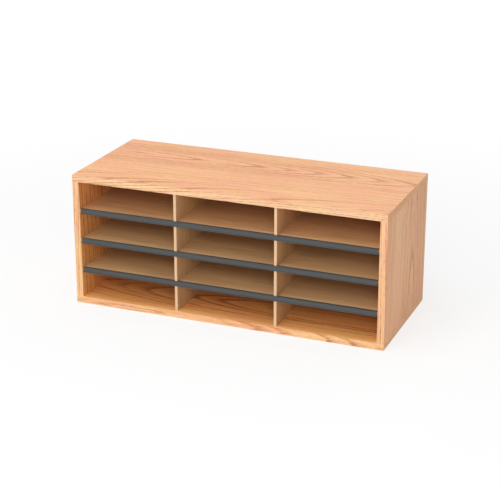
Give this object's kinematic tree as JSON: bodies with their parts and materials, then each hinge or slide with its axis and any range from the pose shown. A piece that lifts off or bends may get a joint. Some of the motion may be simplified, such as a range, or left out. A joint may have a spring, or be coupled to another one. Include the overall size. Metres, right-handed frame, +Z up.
{
  "type": "literature organizer",
  "caption": "Open-front desktop case in oak laminate with thin shelves and upright dividers forming flat paper bays, each shelf edged with a black label moulding.",
  "frame": {"origin": "middle of the underside", "axes": "+X along the width, to the right seen from the front; +Y from the open front to the back; +Z up"},
  "size_m": [0.7302, 0.3048, 0.3048],
  "materials": {
    "oak_laminate": "satin oak-grain laminate over particleboard",
    "oak_edge_band": "satin oak-grain edge band",
    "fibreboard": "smooth tan-faced fibreboard",
    "hardboard": "smooth brown hardboard",
    "black_plastic": "satin black extruded plastic",
    "dowel_wood": "plain turned hardwood"
  },
  "bodies": {
    "root": {"top_panel": "oak_laminate", "top_front_band": "oak_edge_band", "bottom_panel": "oak_laminate", "bottom_front_band": "oak_edge_band", "left_side_panel": "oak_laminate", "left_side_front_band": "oak_edge_band", "top_left_end_band": "oak_edge_band", "top_left_dowels": "dowel_wood", "bottom_left_end_band": "oak_edge_band", "bottom_left_dowels": "dowel_wood", "right_side_panel": "oak_laminate", "right_side_front_band": "oak_edge_band", "top_right_end_band": "oak_edge_band", "top_right_dowels": "dowel_wood", "bottom_right_end_band": "oak_edge_band", "bottom_right_dowels": "dowel_wood", "back_panel": "hardboard", "left_divider": "fibreboard", "right_divider": "fibreboard", "lower_shelf": "fibreboard", "lower_shelf_moulding": "black_plastic", "middle_shelf": "fibreboard", "middle_shelf_moulding": "black_plastic", "upper_shelf": "fibreboard", "upper_shelf_moulding": "black_plastic"}
  },
  "joints": []
}
